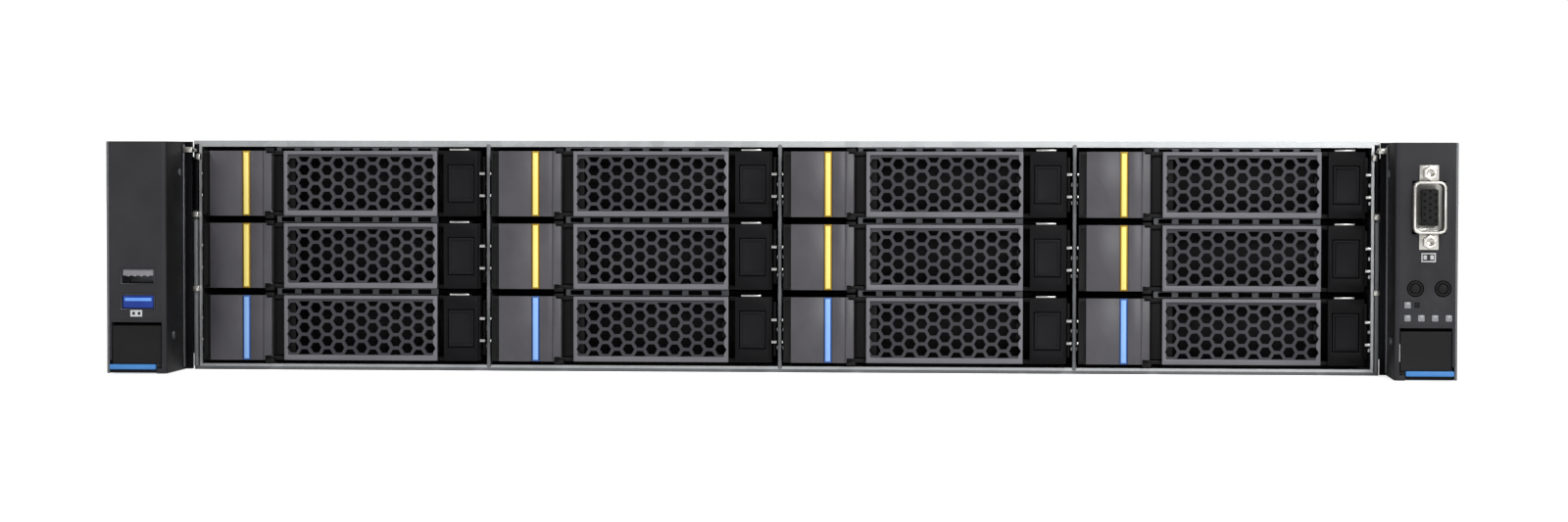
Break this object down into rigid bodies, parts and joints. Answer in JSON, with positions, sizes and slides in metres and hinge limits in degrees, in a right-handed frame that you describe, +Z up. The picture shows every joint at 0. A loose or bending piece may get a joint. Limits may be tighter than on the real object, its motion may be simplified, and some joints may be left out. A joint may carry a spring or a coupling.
{
  "type": "2u rack server",
  "caption": "Two-unit rack server with a grid of front drive carriers, swing levers, control ears, fans, boards, lift-off cover and pull-out power supplies.",
  "frame": {"origin": "middle of the overall box in X and Y, on the underside of the base", "axes": "+X to the right seen from the front, +Y from the front to the rear, +Z up"},
  "size_m": [0.4826, 0.797, 0.0846],
  "materials": {
    "chassis_steel": "bare zinc-coated sheet, satin",
    "psu_steel": "plated sheet, satin",
    "ear_plastic": "fine-textured dark grey",
    "carrier_plastic": "satin dark grey",
    "lever_plastic": "satin dark grey",
    "button_plastic": "satin black",
    "latch_plastic": "satin black",
    "duct_plastic": "satin black",
    "fan_plastic": "satin black",
    "board": "solder-masked board",
    "heatsink_metal": "bare extruded"
  },
  "bodies": {
    "chassis": {"chassis_base": "chassis_steel", "drive_cage": "chassis_steel", "left_ear": "ear_plastic", "right_ear": "ear_plastic", "backplane": "board", "fan_frames": "fan_plastic", "mainboard": "board", "heatsinks": "heatsink_metal", "air_duct": "duct_plastic", "riser_cages": "chassis_steel"},
    "carrier_01": {"carrier_01": "carrier_plastic"},
    "lever_01": {"lever_01": "lever_plastic"},
    "button_01": {"button_01": "button_plastic"},
    "carrier_02": {"carrier_02": "carrier_plastic"},
    "lever_02": {"lever_02": "lever_plastic"},
    "button_02": {"button_02": "button_plastic"},
    "carrier_03": {"carrier_03": "carrier_plastic"},
    "lever_03": {"lever_03": "lever_plastic"},
    "button_03": {"button_03": "button_plastic"},
    "carrier_04": {"carrier_04": "carrier_plastic"},
    "lever_04": {"lever_04": "lever_plastic"},
    "button_04": {"button_04": "button_plastic"},
    "carrier_05": {"carrier_05": "carrier_plastic"},
    "lever_05": {"lever_05": "lever_plastic"},
    "button_05": {"button_05": "button_plastic"},
    "carrier_06": {"carrier_06": "carrier_plastic"},
    "lever_06": {"lever_06": "lever_plastic"},
    "button_06": {"button_06": "button_plastic"},
    "carrier_07": {"carrier_07": "carrier_plastic"},
    "lever_07": {"lever_07": "lever_plastic"},
    "button_07": {"button_07": "button_plastic"},
    "carrier_08": {"carrier_08": "carrier_plastic"},
    "lever_08": {"lever_08": "lever_plastic"},
    "button_08": {"button_08": "button_plastic"},
    "carrier_09": {"carrier_09": "carrier_plastic"},
    "lever_09": {"lever_09": "lever_plastic"},
    "button_09": {"button_09": "button_plastic"},
    "carrier_10": {"carrier_10": "carrier_plastic"},
    "lever_10": {"lever_10": "lever_plastic"},
    "button_10": {"button_10": "button_plastic"},
    "carrier_11": {"carrier_11": "carrier_plastic"},
    "lever_11": {"lever_11": "lever_plastic"},
    "button_11": {"button_11": "button_plastic"},
    "carrier_12": {"carrier_12": "carrier_plastic"},
    "lever_12": {"lever_12": "lever_plastic"},
    "button_12": {"button_12": "button_plastic"},
    "rear_cover": {"rear_cover": "chassis_steel"},
    "cover_latch": {"cover_latch": "latch_plastic"},
    "left_ear_latch": {"left_ear_latch": "latch_plastic"},
    "right_ear_latch": {"right_ear_latch": "latch_plastic"},
    "power_button": {"power_button": "button_plastic"},
    "id_button": {"id_button": "button_plastic"},
    "fan_rotor_1": {"fan_rotor_1": "fan_plastic"},
    "fan_rotor_2": {"fan_rotor_2": "fan_plastic"},
    "fan_rotor_3": {"fan_rotor_3": "fan_plastic"},
    "fan_rotor_4": {"fan_rotor_4": "fan_plastic"},
    "psu_1": {"psu_1": "psu_steel"},
    "psu_latch_1": {"psu_latch_1": "latch_plastic"},
    "psu_2": {"psu_2": "psu_steel"},
    "psu_latch_2": {"psu_latch_2": "latch_plastic"}
  },
  "joints": [
    {"name": "carrier_01_slide", "type": "slide", "parent": "chassis", "child": "carrier_01", "axis": [0, -1, 0], "range_m": [0, 0.175]},
    {"name": "lever_01_swing", "type": "hinge", "parent": "carrier_01", "child": "lever_01", "pos_m": [-0.1884, -0.3587, 0.0157], "axis": [0, 0, -1], "range_deg": [0, 50]},
    {"name": "button_01_press", "type": "slide", "parent": "carrier_01", "child": "button_01", "axis": [0, 1, 0], "range_m": [0, 0.0018], "stiffness_N_per_m": 400, "springref_m": -0.0008},
    {"name": "carrier_02_slide", "type": "slide", "parent": "chassis", "child": "carrier_02", "axis": [0, -1, 0], "range_m": [0, 0.175]},
    {"name": "lever_02_swing", "type": "hinge", "parent": "carrier_02", "child": "lever_02", "pos_m": [-0.0811, -0.3587, 0.0157], "axis": [0, 0, -1], "range_deg": [0, 50]},
    {"name": "button_02_press", "type": "slide", "parent": "carrier_02", "child": "button_02", "axis": [0, 1, 0], "range_m": [0, 0.0018], "stiffness_N_per_m": 400, "springref_m": -0.0008},
    {"name": "carrier_03_slide", "type": "slide", "parent": "chassis", "child": "carrier_03", "axis": [0, -1, 0], "range_m": [0, 0.175]},
    {"name": "lever_03_swing", "type": "hinge", "parent": "carrier_03", "child": "lever_03", "pos_m": [0.0262, -0.3587, 0.0157], "axis": [0, 0, -1], "range_deg": [0, 50]},
    {"name": "button_03_press", "type": "slide", "parent": "carrier_03", "child": "button_03", "axis": [0, 1, 0], "range_m": [0, 0.0018], "stiffness_N_per_m": 400, "springref_m": -0.0008},
    {"name": "carrier_04_slide", "type": "slide", "parent": "chassis", "child": "carrier_04", "axis": [0, -1, 0], "range_m": [0, 0.175]},
    {"name": "lever_04_swing", "type": "hinge", "parent": "carrier_04", "child": "lever_04", "pos_m": [0.1335, -0.3587, 0.0157], "axis": [0, 0, -1], "range_deg": [0, 50]},
    {"name": "button_04_press", "type": "slide", "parent": "carrier_04", "child": "button_04", "axis": [0, 1, 0], "range_m": [0, 0.0018], "stiffness_N_per_m": 400, "springref_m": -0.0008},
    {"name": "carrier_05_slide", "type": "slide", "parent": "chassis", "child": "carrier_05", "axis": [0, -1, 0], "range_m": [0, 0.175]},
    {"name": "lever_05_swing", "type": "hinge", "parent": "carrier_05", "child": "lever_05", "pos_m": [-0.1884, -0.3587, 0.0423], "axis": [0, 0, -1], "range_deg": [0, 50]},
    {"name": "button_05_press", "type": "slide", "parent": "carrier_05", "child": "button_05", "axis": [0, 1, 0], "range_m": [0, 0.0018], "stiffness_N_per_m": 400, "springref_m": -0.0008},
    {"name": "carrier_06_slide", "type": "slide", "parent": "chassis", "child": "carrier_06", "axis": [0, -1, 0], "range_m": [0, 0.175]},
    {"name": "lever_06_swing", "type": "hinge", "parent": "carrier_06", "child": "lever_06", "pos_m": [-0.0811, -0.3587, 0.0423], "axis": [0, 0, -1], "range_deg": [0, 50]},
    {"name": "button_06_press", "type": "slide", "parent": "carrier_06", "child": "button_06", "axis": [0, 1, 0], "range_m": [0, 0.0018], "stiffness_N_per_m": 400, "springref_m": -0.0008},
    {"name": "carrier_07_slide", "type": "slide", "parent": "chassis", "child": "carrier_07", "axis": [0, -1, 0], "range_m": [0, 0.175]},
    {"name": "lever_07_swing", "type": "hinge", "parent": "carrier_07", "child": "lever_07", "pos_m": [0.0262, -0.3587, 0.0423], "axis": [0, 0, -1], "range_deg": [0, 50]},
    {"name": "button_07_press", "type": "slide", "parent": "carrier_07", "child": "button_07", "axis": [0, 1, 0], "range_m": [0, 0.0018], "stiffness_N_per_m": 400, "springref_m": -0.0008},
    {"name": "carrier_08_slide", "type": "slide", "parent": "chassis", "child": "carrier_08", "axis": [0, -1, 0], "range_m": [0, 0.175]},
    {"name": "lever_08_swing", "type": "hinge", "parent": "carrier_08", "child": "lever_08", "pos_m": [0.1335, -0.3587, 0.0423], "axis": [0, 0, -1], "range_deg": [0, 50]},
    {"name": "button_08_press", "type": "slide", "parent": "carrier_08", "child": "button_08", "axis": [0, 1, 0], "range_m": [0, 0.0018], "stiffness_N_per_m": 400, "springref_m": -0.0008},
    {"name": "carrier_09_slide", "type": "slide", "parent": "chassis", "child": "carrier_09", "axis": [0, -1, 0], "range_m": [0, 0.175]},
    {"name": "lever_09_swing", "type": "hinge", "parent": "carrier_09", "child": "lever_09", "pos_m": [-0.1884, -0.3587, 0.0689], "axis": [0, 0, -1], "range_deg": [0, 50]},
    {"name": "button_09_press", "type": "slide", "parent": "carrier_09", "child": "button_09", "axis": [0, 1, 0], "range_m": [0, 0.0018], "stiffness_N_per_m": 400, "springref_m": -0.0008},
    {"name": "carrier_10_slide", "type": "slide", "parent": "chassis", "child": "carrier_10", "axis": [0, -1, 0], "range_m": [0, 0.175]},
    {"name": "lever_10_swing", "type": "hinge", "parent": "carrier_10", "child": "lever_10", "pos_m": [-0.0811, -0.3587, 0.0689], "axis": [0, 0, -1], "range_deg": [0, 50]},
    {"name": "button_10_press", "type": "slide", "parent": "carrier_10", "child": "button_10", "axis": [0, 1, 0], "range_m": [0, 0.0018], "stiffness_N_per_m": 400, "springref_m": -0.0008},
    {"name": "carrier_11_slide", "type": "slide", "parent": "chassis", "child": "carrier_11", "axis": [0, -1, 0], "range_m": [0, 0.175]},
    {"name": "lever_11_swing", "type": "hinge", "parent": "carrier_11", "child": "lever_11", "pos_m": [0.0262, -0.3587, 0.0689], "axis": [0, 0, -1], "range_deg": [0, 50]},
    {"name": "button_11_press", "type": "slide", "parent": "carrier_11", "child": "button_11", "axis": [0, 1, 0], "range_m": [0, 0.0018], "stiffness_N_per_m": 400, "springref_m": -0.0008},
    {"name": "carrier_12_slide", "type": "slide", "parent": "chassis", "child": "carrier_12", "axis": [0, -1, 0], "range_m": [0, 0.175]},
    {"name": "lever_12_swing", "type": "hinge", "parent": "carrier_12", "child": "lever_12", "pos_m": [0.1335, -0.3587, 0.0689], "axis": [0, 0, -1], "range_deg": [0, 50]},
    {"name": "button_12_press", "type": "slide", "parent": "carrier_12", "child": "button_12", "axis": [0, 1, 0], "range_m": [0, 0.0018], "stiffness_N_per_m": 400, "springref_m": -0.0008},
    {"name": "rear_cover_lift", "type": "slide", "parent": "chassis", "child": "rear_cover", "axis": [0, 0, 1], "range_m": [0, 0.12]},
    {"name": "cover_latch_flip", "type": "hinge", "parent": "rear_cover", "child": "cover_latch", "pos_m": [0, 0.0515, 0.0798], "axis": [1, 0, 0], "range_deg": [0, 80]},
    {"name": "left_ear_latch_pull", "type": "hinge", "parent": "chassis", "child": "left_ear_latch", "pos_m": [-0.2303, -0.3885, 0.016], "axis": [-1, 0, 0], "range_deg": [0, 12], "stiffness_Nm_per_rad": 0.6, "springref_deg": -4.58},
    {"name": "right_ear_latch_pull", "type": "hinge", "parent": "chassis", "child": "right_ear_latch", "pos_m": [0.2303, -0.3885, 0.016], "axis": [-1, 0, 0], "range_deg": [0, 12], "stiffness_Nm_per_rad": 0.6, "springref_deg": -4.58},
    {"name": "power_button_press", "type": "slide", "parent": "chassis", "child": "power_button", "axis": [0, 1, 0], "range_m": [0, 0.0008], "stiffness_N_per_m": 500, "springref_m": -0.0006},
    {"name": "id_button_press", "type": "slide", "parent": "chassis", "child": "id_button", "axis": [0, 1, 0], "range_m": [0, 0.0008], "stiffness_N_per_m": 500, "springref_m": -0.0006},
    {"name": "fan_rotor_1_spin", "type": "hinge", "parent": "chassis", "child": "fan_rotor_1", "pos_m": [-0.15, -0.1485, 0.0422], "axis": [0, 1, 0], "continuous": true},
    {"name": "fan_rotor_2_spin", "type": "hinge", "parent": "chassis", "child": "fan_rotor_2", "pos_m": [-0.05, -0.1485, 0.0422], "axis": [0, 1, 0], "continuous": true},
    {"name": "fan_rotor_3_spin", "type": "hinge", "parent": "chassis", "child": "fan_rotor_3", "pos_m": [0.05, -0.1485, 0.0422], "axis": [0, 1, 0], "continuous": true},
    {"name": "fan_rotor_4_spin", "type": "hinge", "parent": "chassis", "child": "fan_rotor_4", "pos_m": [0.15, -0.1485, 0.0422], "axis": [0, 1, 0], "continuous": true},
    {"name": "psu_1_slide", "type": "slide", "parent": "chassis", "child": "psu_1", "axis": [0, 1, 0], "range_m": [0, 0.2]},
    {"name": "psu_latch_1_squeeze", "type": "hinge", "parent": "psu_1", "child": "psu_latch_1", "pos_m": [0.1419, 0.3733, 0.0224], "axis": [0, 0, -1], "range_deg": [0, 12], "stiffness_Nm_per_rad": 0.3, "springref_deg": -4.58},
    {"name": "psu_2_slide", "type": "slide", "parent": "chassis", "child": "psu_2", "axis": [0, 1, 0], "range_m": [0, 0.2]},
    {"name": "psu_latch_2_squeeze", "type": "hinge", "parent": "psu_2", "child": "psu_latch_2", "pos_m": [0.1419, 0.3733, 0.0627], "axis": [0, 0, -1], "range_deg": [0, 12], "stiffness_Nm_per_rad": 0.3, "springref_deg": -4.58}
  ]
}
